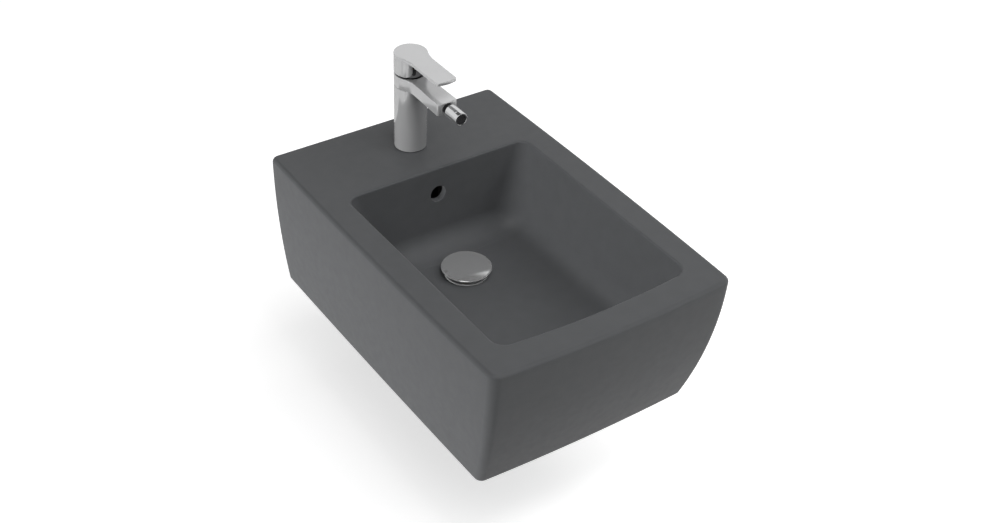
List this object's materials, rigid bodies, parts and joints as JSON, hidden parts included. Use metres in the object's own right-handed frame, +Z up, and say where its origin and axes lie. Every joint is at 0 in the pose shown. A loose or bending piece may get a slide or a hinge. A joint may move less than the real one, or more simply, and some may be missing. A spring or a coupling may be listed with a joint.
{
  "type": "wall-hung bidet",
  "caption": "Wall-hung bidet with a sunk bowl, overflow hole, single-lever mixer tap with a swivelling nozzle, and a push-open waste with a raised cap.",
  "frame": {"origin": "midpoint between the two wall fixings, on the plane of the wall", "axes": "+Y into the wall, -Y out to the bidet's front, +Z up, +X to the right of someone who faces the wall"},
  "size_m": [0.3748, 0.5596, 0.3675],
  "materials": {
    "graphite_ceramic": "matt graphite glaze",
    "chrome": "polished chrome plating",
    "plated_steel": "zinc plated",
    "black_steel": "blackened",
    "brass": "machined",
    "black_rubber": "matt",
    "black_plastic": "matt moulded",
    "white_plastic": "moulded",
    "disc_ceramic": "lapped"
  },
  "bodies": {
    "bidet": {"ceramic_body": "graphite_ceramic", "fixing_sleeves": "white_plastic", "fixing_washers": "plated_steel", "fixing_nuts": "plated_steel", "tap_body": "chrome", "base_gasket": "black_rubber", "mounting_stud": "plated_steel", "clamp_gasket": "black_rubber", "clamp_plate": "plated_steel", "clamp_nut": "brass", "cartridge_base": "white_plastic", "cartridge_seals": "black_rubber", "cartridge_housing": "white_plastic", "fixed_disc": "disc_ceramic", "cartridge_nut": "brass", "dome_cover": "chrome", "ball_stud": "black_plastic", "stud_gasket": "black_rubber", "waste_body": "chrome", "waste_top_gasket": "black_rubber", "waste_bottom_gasket": "black_rubber", "waste_nut": "white_plastic", "tailpiece": "chrome", "tailpiece_gasket": "black_rubber", "tailpiece_nut": "chrome", "click_cage": "white_plastic", "cap_spring": "plated_steel"},
    "spindle": {"cartridge_spindle": "white_plastic", "stem_pin": "plated_steel"},
    "lever": {"handle": "chrome", "handle_screw": "black_steel", "cartridge_stem": "brass"},
    "mixing_disc": {"disc_carrier": "white_plastic", "moving_disc": "disc_ceramic"},
    "nozzle_ring": {"ball_seal": "black_rubber"},
    "nozzle": {"nozzle_sleeve": "chrome", "aerator_washer": "black_rubber", "aerator_insert": "black_plastic"},
    "plug": {"waste_cap": "chrome", "cap_seal": "black_rubber", "cap_stem": "brass"}
  },
  "joints": [
    {"name": "handle_turn", "type": "hinge", "parent": "bidet", "child": "spindle", "pos_m": [0, -0.07, 0.1872], "axis": [0, 0, 1], "range_deg": [-45, 45]},
    {"name": "handle_lift", "type": "hinge", "parent": "spindle", "child": "lever", "pos_m": [0, -0.07, 0.1872], "axis": [-1, 0, 0], "range_deg": [0, 20]},
    {"name": "disc_slide", "type": "slide", "parent": "spindle", "child": "mixing_disc", "axis": [0, -1, 0], "range_m": [0, 0.00297]},
    {"name": "nozzle_turn", "type": "hinge", "parent": "bidet", "child": "nozzle_ring", "pos_m": [0, -0.1772, 0.1829], "axis": [0, 0, 1], "range_deg": [-15, 15]},
    {"name": "nozzle_tilt", "type": "hinge", "parent": "nozzle_ring", "child": "nozzle", "pos_m": [0, -0.1772, 0.1829], "axis": [1, 0, 0], "range_deg": [-15, 15]},
    {"name": "cap_press", "type": "slide", "parent": "bidet", "child": "plug", "axis": [0, 0, 1], "range_m": [-0.007, 0], "stiffness_N_per_m": 600, "springref_m": 0.006, "deforming": ["cap_spring"]}
  ],
  "couplings": [
    {"joint": "disc_slide", "follows": "handle_lift", "m_per_rad": 0.00848}
  ]
}
